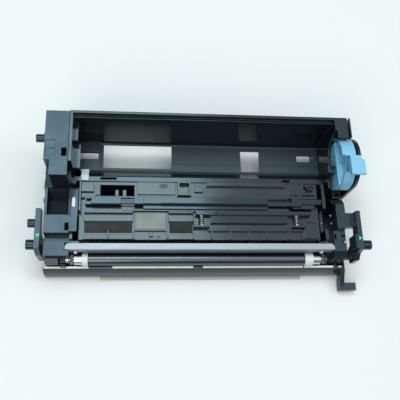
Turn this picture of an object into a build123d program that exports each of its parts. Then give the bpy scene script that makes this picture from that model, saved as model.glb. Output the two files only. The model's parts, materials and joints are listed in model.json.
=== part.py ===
from build123d import *
from math import atan2, cos, degrees, hypot, pi, radians, sin, sqrt
import os

# Developer unit of an A4 page printer. X runs along the developing roller, Y to the
# rear, Z up. Y is measured from the top of the front lip and Z from the table; the
# finished pieces are moved back by origin_y, to the middle of the flat underside.

# Overall sizes, in millimetres
origin_y = 29.5
clearance = 0.05
seat_gap = 0.2
part_gap = 0.3
past = 1.0

# Developing sleeve and what turns with it
sleeve_y = 7.6
sleeve_z = 28.0
sleeve_radius = 6.4
sleeve_wall = 0.8
sleeve_half = 109.5
stub_radius = 3.5
flange_depth = 6.0
magnet_gap = 0.5
magnet_shaft_radius = 2.0
well_radius = 7.2
well_low_angle = -49.0
well_mid_angle = -110.0
roller_radius = 6.9
left_roller_width = 5.6
right_roller_width = 8.6
collar_radius = 5.9
collar_width = 7.4
collar_notch = 4.7
collar_slot = 0.8
bearing_radius = 5.2
bearing_width = 3.6
ring_radius = 5.0
ring_thick = 0.7

# Chamber walls, counted from the sleeve's ends
left_reach = 14.5
right_reach = 19.0
end_wall = 3.0
chamber_left_x = -sleeve_half - left_reach
chamber_right_x = sleeve_half + right_reach
left_wall_x = chamber_left_x - end_wall
right_wall_x = chamber_right_x + end_wall

# Front lip and belly of the case
lip_left_x = left_wall_x - 26.9
lip_right_x = right_wall_x + 20.1
lip_z = 24.5
lip_front_y = -0.8
lip_back_y = 1.3
lip_wall = 2.2
belly_bulge = 3.9
belly_y = -5.2
belly_mid_z = 13.0
belly_low_z = 3.0
belly_base_y = -3.0

# Mixing chamber
screw_z = 15.5
front_screw_y = 29.3
rear_screw_y = 62.0
trough_radius = 13.0
flight_gap = 0.7
flight_thick = 1.6
flight_turns = 6
flight_steps = 8
flight_end_gap = 8.0
base_wall = 2.5
screw_shaft_radius = 3.0
bush_radius = 4.6
partition_top_z = 32.0
partition_half = 1.1

# Cradle for the toner container
rim_z = 48.0
rim_front_y = 83.0
rim_back_y = 88.0
rim_wall = 4.5
bowl_mid = (93.6, 34.4)
bowl_under = (91.3, 33.0)
floor_front_y = 104.0
floor_z = 25.0
floor_wall = 2.5
floor_step_y = 112.5
floor_step = 0.8
floor_bend = 3.0
rear_wall_y = 135.5
rear_wall = 2.5
rear_top_z = 88.0
rear_ledge = 5.0
left_floor_x = chamber_left_x + 22.5
left_floor_rise = 1.6
left_ledges = ((3.5, 117.0, rear_wall_y, 70.0), (5.5, 92.0, 117.0, 60.0))

# Windows through the cradle floor: low x, high x, low y, high y
floor_windows = (
    (-98.0, -25.7, 107.0, 133.6),
    (49.6, 70.5, 104.9, 129.3),
    (112.7, 133.6, 117.5, 125.3),
    (-120.0, -103.2, 115.9, 124.0),
)
rim_slots = ((-99.0, -83.0), (88.0, 96.0))
rim_slot_front = 1.3
rim_slot_back = 0.8
rim_slot_depth = 8.0

# The cradle's right end wall, low beside the lock lever
cradle_right_x = right_wall_x + 4.5
cradle_end_wall = 2.0
right_cover_low_x = cradle_right_x + cradle_end_wall
cradle_end_low_z = 58.0
cradle_end_rise = ((108.0, cradle_end_low_z), (118.5, 64.5), (125.0, 78.0))
cradle_end_back_y = 127.0
end_wall_dip = (33.5, 56.0, 36.0)
hook_x = (right_wall_x, right_cover_low_x + 1.0)
hook_y = (88.5, 95.5)
hook_z = (60.0, 68.0)
stop_y = (76.5, 84.0)
stop_z = (22.0, 55.0)

# Left end cover
left_cover_x = left_wall_x - 24.0
left_cover_wall = 2.0
left_cover_profile = (
    (2.0, 1.0), (2.0, 33.0), (7.0, 36.0), (7.0, 47.0), (22.0, 47.0), (22.0, 44.2), (27.5, 44.2),
    (27.5, 55.0), (73.0, 55.0), (88.0, 60.0), (138.5, 60.0), (138.5, 1.0),
)
rear_block_top_z = 90.0
rear_block_steps = ((2.0, 88.0, 138.5), (7.3, 73.0, 92.0))
pocket_y = (45.5, 73.0)
pocket_inset = 2.4
pocket_floor_z = 40.0
pocket_floor_thick = 1.6
pocket_rise = ((64.0, 40.0), (71.0, 51.0))
cover_shelf = ((29.0, 44.0, 51.0, 55.0), (44.0, 74.0, 49.9, 51.4))
cover_shelf_right_x = -119.6
shelf_slot = (-131.0, -127.2, 30.0, 37.5)
shelf_catch = (-129.6, -121.4, 76.0, 82.0, 51.0, 60.0)
block_groove = (93.0, 95.6, 1.2)
block_frames_y = (90.5, 100.5, 109.0)
block_frame_x = (-148.6, -138.0)
block_ridge = 0.8
block_hole = (-133.0, -128.3, 91.8, 100.2, 10.0)
drive_door_gap = 0.6
sleeve_door_y = 17.0
sleeve_door_z = (14.0, 37.5)
left_pin_y = 116.0
left_pin_z = 75.0
left_pin_radius = 4.0
left_pin_boss = 2.5
left_pin_end_x = left_cover_x - 8.0

# Gears
gear_width = 5.0
left_gear_low_x = left_wall_x - 9.5
module = 1.0
drive_teeth = 30
screw_teeth = 22
rear_idler_teeth = 18
front_idler_teeth = 16
sleeve_teeth = 14
drive_angle = 39.0
tooth_share = 0.40
root_share = 1.45
tip_share = 0.55
addendum = 0.80
dedendum = 1.15
gear_room = 0.4
idler_pin_radius = 2.5
idler_boss_wall = 2.0
pin_end_gap = 4.5
pin_grip = 1.5
coupling_radius = 8.0
coupling_reach = 3.6
claw_half = 2.2
claw_angle = 30.0

# Lock lever and the outer wall beside it
lever_y = 101.0
lever_z = 60.0
lever_radius = 27.0
lever_wall = 2.0
lever_low_x = right_cover_low_x + 2.5
lever_high_x = lever_low_x + 14.0
lever_groove_x = lever_low_x + 3.3
lever_disc = 2.5
lever_disc_top_z = 69.0
lever_disc_back_y = 121.0
lever_hub_wall = 3.5
lever_pin_radius = 4.0
lever_room = 1.2
rib_x = (lever_low_x + 1.8, lever_low_x + 4.6)
rib_y = (79.5, 97.0)
rib_top_z = 71.0
drum_window_x = (lever_low_x + 3.6, lever_low_x + 7.6)
drum_window_y = (84.0, 99.5)
grip_x = (lever_low_x + 7.6, lever_low_x + 22.2)
grip_y = (79.6, 99.5)
grip_z = (84.0, 88.0)
grip_step_x = 3.2
grip_step_y = 4.2
grip_edge = 1.0
outer_wall_x = lever_high_x + 2.6
outer_wall = 3.0
outer_wall_radius = 26.4
outer_foot_z = 8.0
foot_top_z = 24.0
hub_boss_wall = 3.0

# Right end cover
right_cover_x = right_cover_low_x + 12.5
right_cover_wall = 2.0
right_cover_profile = (
    (3.0, 1.0), (3.0, 22.0), (6.0, 42.0), (12.0, 46.0), (34.0, 46.0), (34.0, 52.0), (60.0, 52.0),
    (66.0, 47.0), (72.0, 30.0), (74.0, 22.0), (140.0, 22.0), (140.0, 1.0),
)
right_step = (right_cover_low_x, right_cover_low_x + 3.2, 33.0, 61.0, 38.0)
rear_block_x = (right_cover_low_x, right_cover_low_x + 11.0)
rear_block_y = (119.0, 140.5)
rear_block_low_z = 20.0
side_plate_x = (right_cover_low_x + 13.2, right_cover_low_x + 14.4)
side_plate_low_z = 62.0
bracket_x = (126.6, 138.0)
bracket_y = (22.2, 30.5)
bracket_z = (30.0, 47.5)
notches = ((138.4, 141.0, 23.5, 29.5), (146.0, 150.0, 26.5, 29.0), (147.0, 151.0, 20.5, 22.5))
notch_depth = 5.0
square_boss_x = (141.6, 150.4)
square_boss_y = (68.6, 77.0)
square_boss_z = (24.0, 45.0)
square_boss_wall = 1.5
side_tab = (133.0, 147.0, 56.3, 66.0, 46.5, 48.3)

# Blade bar above the sleeve
bar_left_x = left_wall_x - 4.0
bar_right_x = right_wall_x + 6.4
bar_top_z = 46.0
bar_front_y = 12.8
bar_back_y = 19.6
bar_sheet = 1.2
bar_leg_z = 36.0
bar_corner = 4.0
bar_hole = 1.6
blade_past = 2.5
blade_half = sleeve_half + blade_past
blade_sheet = 1.0
blade_low_z = 33.5
blade_high_z = 40.5
blade_screw_inset = 2.5
blade_screw_z = 38.5
blade_screw_radius = 1.5
blade_head_radius = 2.4
blade_head_thick = 1.8
bar_seat_long = 6.2
bar_seat_depth = 6.0
bar_seat_gap = 2.0

# Cover of the mixing chamber. Each row holds low x, high x, low y, high y, low z, high z.
cover_left_x = chamber_left_x + 5.4
cover_right_x = chamber_right_x - 5.0
cover_front_y = 23.0
cover_back_gap = 1.5
cover_low_z = 43.0
cover_top_z = 46.0
deck_front_y = 66.5
deck_z = 48.0
strip_z = 49.5
wall_z = 50.0
rail_z = 51.0
deck_raised = (
    (-117.0, -105.0, 71.0, 80.5, deck_z, rail_z),
    (-103.0, -99.5, 68.0, 80.5, deck_z, strip_z),
    (-62.0, -24.0, 69.0, 82.0, deck_z, strip_z),
    (-5.0, 4.0, 72.0, 77.5, deck_z, strip_z + 1),
    (8.0, 90.0, 78.5, 82.3, deck_z, rail_z),
    (94.0, 104.0, 70.0, 82.3, deck_z, strip_z),
    (107.0, 121.0, 70.0, 72.0, deck_z, rail_z),
    (107.0, 109.0, 72.0, 82.3, deck_z, rail_z),
)
link_walls = (
    (-117.0, 92.0, 65.0, 66.5, cover_top_z, wall_z),
    (-76.0, 92.0, 51.4, 52.8, cover_top_z, wall_z),
    (cover_left_x, -117.0, 50.0, 81.0, cover_top_z, rail_z + 3),
)
catch_frame = (-22.0, -8.4, 67.0, 82.0, deck_z, 54.0)
catch_wall = 2.0
deck_field = (6.0, 91.0, 67.5, 77.0)
deck_field_depth = 0.8
deck_window = (-98.6, -65.0, 67.5, 79.0)
window_bars_x = (-84.0, -76.5)
window_bar = 3.4
window_bar_z = 47.5
cross_panels = ((-114.0, -66.0), (-31.0, -6.5))
cross_strips = ((49.6, 51.4, 0.0), (41.0, 47.0, 0.0), (23.0, 27.6, 1.0))
field_y = (30.0, 40.0)
field_depth = 1.6
field_inset = 1.0
centre_panel = (-64.5, -33.0, 31.5, 50.5)
centre_tab = (-50.0, -46.0, 26.0, 30.0)
pocket_walls = (
    (-6.4, 9.6, 34.6, 36.4, cover_top_z, 53.0),
    (93.6, 109.0, 34.6, 36.4, cover_top_z, 53.0),
    (-6.4, -4.9, 36.0, 49.0, cover_top_z, 52.0),
)
front_ribs_x = (-90.0, -65.4, -32.7, -6.4, 12.0, 31.0, 49.0, 67.7, 90.7, 105.3)
rib_half = 0.7
rib_back_y = 31.5
rib_tie = (8.0, 105.0, 31.5, 33.0)
corner_block = (106.0, 122.0, 24.0, 44.0, wall_z)
corner_recess = (108.5, 119.5, 27.0, 41.0, 2.0)
oval_x = -36.0
oval_y = 78.0
oval_long = 8.0
oval_wide = 3.6
oval_raise = 0.8

# Sliding link on the cover
link_front_y = 53.2
link_back_y = 64.6
link_low_z = 48.3
link_top_z = 52.0
link_lip_z = 56.0
link_lip_y = link_front_y + 4.2
link_ridge = 1.2
link_ridge_start = 18.0
link_bar_x = (-56.0, 69.0)
link_head_x = -65.0
link_tail_x = 94.0
link_travel = 8.0
link_rod_places = (59.5, 62.2)
link_rod_z = 53.0
link_rod_radius = 0.7
link_rod_x = (-81.0, -62.0)
latch_x = (-113.0, -107.0, -78.0)
latch_z = (52.0, 54.6)
latch_window = (-111.5, -106.5, 60.6, 63.4)
cam_lift = 1.6
cam_steps = (
    (94.0, 104.0, 56.0, 67.0, link_low_z, 56.0),
    (96.0, 125.0, 58.6, 63.4, link_low_z + cam_lift, 55.0),
    (96.0, 118.0, 54.0, 58.6, link_low_z + cam_lift, 53.0),
)

# Sprung bar
press_bar = (-4.0, 115.0, 47.4, 51.2, 52.6)
press_plate = (11.0, 90.0, 39.6, 47.4, 50.0)
press_corner = 1.2
press_travel = 3.0
spring_x = (1.6, 99.0)
spring_y = (36.6, 47.2)
spring_z = 49.4
spring_radius = 2.2
spring_wire = 0.4
spring_turns = 6
spring_steps = 8

# Guide arms, their pins, and the release lever
guide_top_z = 58.0
guide_pin_y = 17.0
guide_pin_z = 50.0
guide_pin_radius = 4.9
left_arm_x = (left_cover_x - 7.2, left_cover_x - 2.2)
left_guide_end_x = left_arm_x[0] - 8.1
upper_pin_y = 37.2
upper_pin_z = 53.0
upper_pin_radius = 4.2
upper_pin_end_x = left_arm_x[0] - 7.2
left_arm_outline = (
    (8.0, 20.0), (8.0, 44.0), (12.0, guide_top_z), (51.0, guide_top_z),
    (51.0, 48.0), (30.0, 44.0), (24.0, 20.0),
)
left_arm_boss = (12.0, 22.0, 22.0, 30.0)
right_arm_x = (right_cover_x + 8.8, right_cover_x + 13.2)
right_guide_end_x = right_arm_x[1] + 10.2
right_arm_outline = (
    (3.0, 26.0), (3.0, 42.0), (9.0, 48.0), (11.0, guide_top_z), (51.0, guide_top_z),
    (51.0, 46.0), (30.0, 45.0), (24.0, 40.0), (18.0, 26.0),
)
right_arm_pad = (12.0, 26.5, 40.0, guide_top_z, 3.0)
right_struts = ((36.0, 51.0, 43.0, 50.0), (6.0, 15.0, 28.0, 34.0))
release_y = 13.0
release_z = 12.0
release_low_x = right_cover_x + 1.8
release_high_x = release_low_x + 4.6
release_outline = (
    (-2.0, 18.0), (-16.0, 11.0), (-22.0, 9.0), (-22.0, 1.0), (-14.0, 1.0), (-2.0, 6.0),
)
release_neck = (6.0, 5.0)
release_boss = 6.0
release_pin_radius = 3.0
release_head = 4.6
release_head_thick = 1.6
release_foot = (right_cover_x + 19.6, -22.0, -14.0, 1.0, 10.0)

# Small pieces
strip_thick = 0.3
lip_sections = (
    (lip_left_x + 1.0, -sleeve_half), (-86.0, -5.0), (5.0, sleeve_half), (sleeve_half + 1.0, 142.0))
film_left_x = -99.0
film_right_x = 113.0
film_front_y = -8.5
film_back_y = 6.0
film_thick = 0.3
tab_x = (-118.0, -110.6)
tab_outline = ((83.2, rim_z), (83.2, 50.0), (88.6, 50.0), (96.4, 46.0), (95.6, 44.4), (88.2, rim_z))
tab_rib_outline = ((84.0, 49.5), (84.0, 50.6), (88.8, 50.6), (95.6, 46.9), (95.2, 45.6))
tab_ribs = 5
tab_rib_pitch = 1.4
tab_rib = 0.6
plate_inset = 1.5
plate_thick = 0.6
plate_sunk = 1.0
screw_head_radius = 3.2
screw_head_height = 2.0
left_screws = ((33.0, 8.0), (130.0, 10.0), (130.0, 50.0), (62.0, 48.0))
right_screws = ((30.0, 10.0), (60.0, 10.0), (133.0, 12.0))


def block(x_low, x_high, y_low, y_high, z_low, z_high):
    """A plain block between six limits."""
    size = (x_high - x_low, y_high - y_low, z_high - z_low)
    middle = ((x_low + x_high) / 2, (y_low + y_high) / 2, (z_low + z_high) / 2)
    return Pos(*middle) * Box(*size)


def rod(y, z, radius, x_low, x_high):
    """A round bar along X."""
    return Pos((x_low + x_high) / 2, y, z) * Rot(0, 90, 0) * Cylinder(radius, x_high - x_low)


def ring(y, z, outer, inner, x_low, x_high):
    """A bored disc along X."""
    return rod(y, z, outer, x_low, x_high) - rod(y, z, inner, x_low - past, x_high + past)


def slab(edges, x_low, x_high):
    """A closed outline in Y and Z, carried from x_low to x_high."""
    face = Plane.YZ.offset(x_low) * make_face(edges)
    return extrude(face, x_high - x_low)


def plate(points, x_low, x_high):
    """A polygon of (y, z) points, carried from x_low to x_high."""
    return slab(Polyline(*points, close=True).edges(), x_low, x_high)


def shrunk(points, wall):
    """A closed polygon moved inwards by a wall."""
    face = make_face(Polyline(*points, close=True).edges())
    return offset(face, -wall, kind=Kind.INTERSECTION)


def edges_of(lines):
    """All the edges of a list of lines."""
    return [edge for line in lines for edge in line.edges()]


def polar(y, z, radius, angle):
    """The point at a radius and an angle in degrees about (y, z)."""
    return (y + radius * cos(radians(angle)), z + radius * sin(radians(angle)))


def facet(*points):
    """A flat face with the given corners."""
    return Face(Wire(Polyline(*points, close=True).edges()))


def wound(inner, outer, thick, pitch, turns, steps, hand):
    """A flat-faceted helical strip about X: a rectangle carried round in equal steps."""
    corners = ((-thick / 2, inner), (-thick / 2, outer), (thick / 2, outer), (thick / 2, inner))
    rows = []
    for step in range(turns * steps + 1):
        turn = hand * step * 360 / steps
        along = step * pitch / steps
        rows.append([(along + x, *polar(0, 0, radius, turn)) for x, radius in corners])
    faces = [facet(*rows[0]), facet(*rows[-1])]
    for first, second in zip(rows, rows[1:]):
        for here in range(4):
            there = (here + 1) % 4
            faces.append(facet(first[here], first[there], second[there]))
            faces.append(facet(first[here], second[there], second[here]))
    return Solid(Shell(faces))


def gear_radius(teeth):
    return module * teeth / 2


def meeting(first, first_reach, second, second_reach):
    """The upper point that lies at two given distances from two points."""
    dy, dz = second[0] - first[0], second[1] - first[1]
    span = hypot(dy, dz)
    along = (first_reach ** 2 - second_reach ** 2 + span ** 2) / (2 * span)
    up = sqrt(first_reach ** 2 - along ** 2)
    return (first[0] + (along * dy - up * dz) / span, first[1] + (along * dz + up * dy) / span)


# Places that follow from the gears: each idler lies where it meets both neighbours
sleeve_at = (sleeve_y, sleeve_z)
front_screw_at = (front_screw_y, screw_z)
rear_screw_at = (rear_screw_y, screw_z)
partition_y = (front_screw_y + rear_screw_y) / 2
front_idler_at = meeting(
    sleeve_at, gear_radius(sleeve_teeth + front_idler_teeth),
    front_screw_at, gear_radius(screw_teeth + front_idler_teeth),
)
rear_idler_at = meeting(
    front_screw_at, gear_radius(screw_teeth + rear_idler_teeth),
    rear_screw_at, gear_radius(screw_teeth + rear_idler_teeth),
)
drive_at = polar(*rear_screw_at, gear_radius(drive_teeth + screw_teeth), drive_angle)
gear_high_x = left_gear_low_x + gear_width


def mesh_turn(driver_at, driver_teeth, driver_turn, driven_at, driven_teeth):
    """The turn in degrees that sets a gear's tooth gap on its driver's tooth."""
    line = degrees(atan2(driven_at[1] - driver_at[1], driven_at[0] - driver_at[0]))
    driver_phase = (line - driver_turn) * driver_teeth / 360
    return line + 180 + (driver_phase + 0.5) * 360 / driven_teeth


drive_turn = 0.0
rear_screw_turn = mesh_turn(drive_at, drive_teeth, drive_turn, rear_screw_at, screw_teeth)
rear_idler_turn = mesh_turn(
    rear_screw_at, screw_teeth, rear_screw_turn, rear_idler_at, rear_idler_teeth)
front_screw_turn = mesh_turn(
    rear_idler_at, rear_idler_teeth, rear_idler_turn, front_screw_at, screw_teeth)
front_idler_turn = mesh_turn(
    front_screw_at, screw_teeth, front_screw_turn, front_idler_at, front_idler_teeth)
sleeve_turn = mesh_turn(
    front_idler_at, front_idler_teeth, front_idler_turn, sleeve_at, sleeve_teeth)


def gear(at, teeth, turn, shaft_radius):
    """A spur gear along X with straight-sided teeth; turn points a tooth's middle."""
    pitch_radius = gear_radius(teeth)
    tip = pitch_radius + addendum * module
    root = pitch_radius - dedendum * module
    step = 360 / teeth
    half_tooth = step * tooth_share / 2
    corners = (
        (root, -half_tooth * root_share), (tip, -half_tooth * tip_share),
        (tip, half_tooth * tip_share), (root, half_tooth * root_share),
    )
    points = [
        polar(*at, radius, turn + tooth * step + angle)
        for tooth in range(teeth) for radius, angle in corners
    ]
    wheel = plate(points, left_gear_low_x, gear_high_x)
    return wheel - rod(*at, shaft_radius + clearance, left_gear_low_x - past, gear_high_x + past)


def belly_edges():
    """The outside of the front wall, from the lip down to the underside."""
    curve = ThreePointArc(
        (lip_front_y, lip_z), (lip_front_y - belly_bulge, belly_mid_z), (belly_y, belly_low_z))
    return curve, Line((belly_y, belly_low_z), (belly_base_y, 0))


def under_edges():
    """The underside, from the belly to the low edge of the rear wall's ledge."""
    rear_y, ledge_y = rear_screw_y, rear_wall_y + rear_wall
    under_z = rim_z - rim_wall
    return [
        Line((belly_base_y, 0), (rear_y, 0)),
        ThreePointArc(
            (rear_y, 0), polar(rear_y, screw_z, screw_z, -45), (rear_y + screw_z, screw_z)),
        Polyline(
            (rear_y + screw_z, screw_z), (rim_front_y + base_wall, under_z),
            (rim_back_y - past, under_z)),
        ThreePointArc(
            (rim_back_y - past, under_z), bowl_under, (floor_front_y - floor_wall, floor_z - floor_wall)),
        Polyline(
            (floor_front_y - floor_wall, floor_z - floor_wall), (ledge_y, floor_z - floor_wall),
            (ledge_y, rear_top_z - rear_ledge - rear_wall),
            (ledge_y + rear_wall, rear_top_z - rear_ledge - rear_wall),
            (ledge_y + rear_wall, rear_top_z)),
    ]


def cradle_edges():
    """The cradle's inside, from the rear wall's top to the top of the rim."""
    ledge_y = rear_wall_y + rear_wall
    return [
        Polyline(
            (ledge_y + rear_wall, rear_top_z), (ledge_y, rear_top_z), (ledge_y, rear_top_z - rear_ledge),
            (rear_wall_y, rear_top_z - rear_ledge), (rear_wall_y, floor_z + floor_bend)),
        RadiusArc(
            (rear_wall_y, floor_z + floor_bend), (rear_wall_y - floor_bend, floor_z), floor_bend),
        Polyline(
            (rear_wall_y - floor_bend, floor_z), (floor_step_y, floor_z),
            (floor_step_y, floor_z - floor_step), (floor_front_y, floor_z - floor_step)),
        ThreePointArc((floor_front_y, floor_z - floor_step), bowl_mid, (rim_back_y, rim_z)),
        Line((rim_back_y, rim_z), (rim_front_y, rim_z)),
    ]


def trough_edges():
    """The two troughs with the partition between them, and the well of the sleeve."""
    front_y, rear_y = front_screw_y, rear_screw_y
    well_low = polar(sleeve_y, sleeve_z, well_radius, well_low_angle)
    well_mid = polar(sleeve_y, sleeve_z, well_radius, well_mid_angle)
    return [
        Line((rim_front_y, rim_z), (rear_y + trough_radius, screw_z)),
        ThreePointArc(
            (rear_y + trough_radius, screw_z), (rear_y, screw_z - trough_radius),
            (rear_y - trough_radius, screw_z)),
        Polyline(
            (rear_y - trough_radius, screw_z), (partition_y + partition_half, partition_top_z),
            (partition_y - partition_half, partition_top_z), (front_y + trough_radius, screw_z)),
        ThreePointArc(
            (front_y + trough_radius, screw_z), (front_y, screw_z - trough_radius),
            (front_y - trough_radius, screw_z)),
        Line((front_y - trough_radius, screw_z), well_low),
        ThreePointArc(well_low, well_mid, (lip_back_y, lip_z)),
        Line((lip_back_y, lip_z), (lip_front_y, lip_z)),
    ]


def case_section():
    """The case's wall in one closed line: belly, underside, cradle, troughs and well."""
    return make_face(edges_of([*belly_edges(), *under_edges(), *cradle_edges(), *trough_edges()]))


def end_outline(top_z, dip=()):
    """The outline of an end wall that carries the screws and the sleeve."""
    seat_y = bar_front_y + bar_seat_gap
    return (
        (belly_base_y, 0), (belly_y, belly_low_z), (lip_front_y, lip_z), (seat_y, lip_z),
        (seat_y, bar_top_z - bar_sheet), (cover_front_y, bar_top_z - bar_sheet),
        (cover_front_y, strip_z), *dip, (rim_back_y, strip_z), (rim_back_y, top_z),
        (rear_wall_y + 2 * rear_wall, top_z), (rear_wall_y + 2 * rear_wall, 0),
    )


def case_ends():
    """The two end walls of the chamber, the right one low where the photo's pit lies."""
    front_y, back_y, low_z = end_wall_dip
    dip = ((front_y, strip_z), (front_y, low_z), (back_y, low_z), (back_y, strip_z))
    left = plate(end_outline(rear_top_z), left_wall_x, chamber_left_x)
    right = plate(end_outline(deck_z, dip), chamber_right_x, right_wall_x)
    behind = rim_front_y + end_wall
    return left + right - block(
        chamber_right_x - past, right_wall_x + past, behind, rear_wall_y + 4 * rear_wall, -past, rear_top_z)


def cradle_end():
    """The cradle's right end wall, with its curved cut-out, hook and stop beside the lever."""
    front_y, back_y = rim_front_y + end_wall, rear_wall_y + 2 * rear_wall
    low_y, high_y = cradle_end_rise[0][0], cradle_end_rise[-1][0]
    high_z = cradle_end_rise[-1][1]
    lines = [
        Polyline(
            (high_y, high_z), (cradle_end_back_y, rear_top_z), (back_y, rear_top_z), (back_y, 0),
            (front_y, 0), (front_y, cradle_end_low_z), (low_y, cradle_end_low_z)),
        ThreePointArc(*cradle_end_rise),
    ]
    wall = slab(edges_of(lines), cradle_right_x, right_cover_low_x)
    wall += block(
        chamber_right_x, right_cover_low_x, front_y, front_y + end_wall, 0, rim_z - end_wall)
    wall += block(cradle_right_x, right_cover_low_x, *hook_y, cradle_end_low_z - past, hook_z[1])
    wall += block(*hook_x, *hook_y, *hook_z)
    wall += block(hook_x[0] + end_wall, right_cover_low_x, stop_y[0], front_y + past, *stop_z)
    return wall


def apron(x_low, x_high):
    """The front lip that runs on past an end wall."""
    back_y = belly_y + lip_wall
    lines = [
        *belly_edges(),
        Polyline((belly_base_y, 0), (belly_base_y + lip_wall, 0), (back_y, belly_low_z + past)),
        ThreePointArc(
            (back_y, belly_low_z + past), (lip_front_y - belly_bulge + lip_wall, belly_mid_z),
            (lip_back_y, lip_z)),
        Line((lip_back_y, lip_z), (lip_front_y, lip_z)),
    ]
    return slab(edges_of(lines), x_low, x_high)


def gear_relief():
    """Room in the lip for the sleeve's gear."""
    tip = gear_radius(sleeve_teeth) + addendum * module
    return rod(*sleeve_at, tip + gear_room, left_gear_low_x - gear_room, gear_high_x + gear_room)


def lower_case():
    """The moulded case: one section along X, its end walls, aprons, seats and openings."""
    section = case_section()
    body = extrude(Plane.YZ.offset(chamber_left_x) * section, chamber_right_x - chamber_left_x)
    longer = extrude(
        Plane.YZ.offset(chamber_right_x) * section, cradle_right_x - chamber_right_x)
    body += longer & block(
        chamber_right_x - past, cradle_right_x + past, rim_front_y + base_wall,
        rear_wall_y + 4 * rear_wall, 0, rear_top_z + past)
    body += case_ends() + cradle_end()
    body += apron(lip_left_x, chamber_left_x) - gear_relief()
    body += apron(chamber_right_x, lip_right_x)

    seat_x = bar_seat_long
    for x_low, x_high in (
            (chamber_left_x, chamber_left_x + seat_x), (chamber_right_x - seat_x, chamber_right_x)):
        body += block(
            x_low, x_high, bar_front_y + bar_seat_gap, cover_front_y - past, lip_z - bar_seat_depth,
            bar_top_z - bar_sheet)
    body += block(
        chamber_left_x, left_floor_x, floor_front_y - past, rear_wall_y, floor_z - floor_wall,
        floor_z + left_floor_rise)
    for wide, y_low, y_high, top_z in left_ledges:
        body += block(chamber_left_x, chamber_left_x + wide, y_low, y_high, floor_z, top_z)
    return body - case_openings()


def case_openings():
    """Everything cut from the case: film recess, windows, slots and bearing bores."""
    cuts = [block(
        film_left_x - seat_gap, film_right_x + seat_gap, belly_y, film_back_y + seat_gap, -past,
        film_thick)]
    for x_low, x_high, y_low, y_high in floor_windows:
        cuts.append(block(
            x_low, x_high, y_low, y_high, floor_z - 2 * floor_wall, floor_z + 2 * floor_wall))
    for x_low, x_high in rim_slots:
        cuts.append(block(
            x_low, x_high, rim_front_y + rim_slot_front, rim_back_y - rim_slot_back,
            rim_z - rim_slot_depth, rim_z + past))
    for x_low in (left_wall_x - past, chamber_right_x - past):
        x_high = x_low + end_wall + 2 * past
        for at in (front_screw_at, rear_screw_at):
            cuts.append(rod(*at, bush_radius + clearance, x_low, x_high))
        cuts.append(rod(*sleeve_at, bearing_radius + clearance, x_low, x_high))
    for at in (front_idler_at, rear_idler_at, drive_at):
        cuts.append(rod(
            *at, idler_pin_radius + clearance, left_wall_x - past, chamber_left_x - pin_grip + past / 2))
    return cuts


def left_end_cover():
    """The gear cover at the left end, open towards the case."""
    inner_x = left_wall_x
    hollow_x = left_cover_x + left_cover_wall
    body = plate(left_cover_profile, left_cover_x, inner_x)
    hollow = extrude(
        Plane.YZ.offset(hollow_x) * shrunk(left_cover_profile, left_cover_wall), inner_x - left_cover_x)
    body -= hollow

    # The tall rear block, which steps in twice from the outer side
    low_z = left_cover_profile[8][1] - left_cover_wall
    for step, y_low, y_high in rear_block_steps:
        body += block(left_cover_x + step, inner_x, y_low, y_high, low_z, rear_block_top_z)
    for step, y_low, y_high in rear_block_steps:
        body -= block(
            left_cover_x + step + left_cover_wall, inner_x + past, y_low + left_cover_wall,
            y_high - left_cover_wall, low_z + left_cover_wall, rear_block_top_z - left_cover_wall)
    return body + left_pocket() + left_shelves() + left_pins() - left_cuts()


def left_pocket():
    """The deep pocket over the idlers: its side walls and its rising floor."""
    y_low, y_high = pocket_y
    top_z = left_cover_profile[8][1]
    floor_thick = pocket_floor_thick
    rise = pocket_rise
    back_y = y_high + left_cover_wall
    outline = (
        (y_low - past, pocket_floor_z), *rise, (y_high, rise[-1][1]), (y_high, top_z - past),
        (back_y, top_z - past), (back_y, rise[-1][1] - floor_thick),
        (rise[-1][0], rise[-1][1] - floor_thick), (rise[0][0], rise[0][1] - floor_thick),
        (y_low - past, pocket_floor_z - floor_thick),
    )
    tray = plate(outline, left_cover_x + past, left_wall_x)
    tray += block(
        left_cover_x + past, left_wall_x, y_low - left_cover_wall, y_low, pocket_floor_z - floor_thick,
        top_z - past)
    return tray


def left_shelves():
    """The flat tops that reach over the case's end wall, and the catch behind them."""
    shelves = [
        block(left_wall_x - 2 * past, cover_shelf_right_x, *limits) for limits in cover_shelf]
    return shelves + [block(*shelf_catch)]


def left_pins():
    """The rear locating pin with its boss, and the bosses of the two idlers."""
    parts = [
        rod(left_pin_y, left_pin_z, left_pin_radius, left_pin_end_x, left_cover_x + 3 * past),
        rod(left_pin_y, left_pin_z, left_pin_radius + left_pin_boss, left_cover_x, left_cover_x + 3 * past),
    ]
    for at in (front_idler_at, rear_idler_at):
        parts.append(rod(
            *at, idler_pin_radius + idler_boss_wall, left_cover_x + past, left_gear_low_x - past))
    return parts


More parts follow.
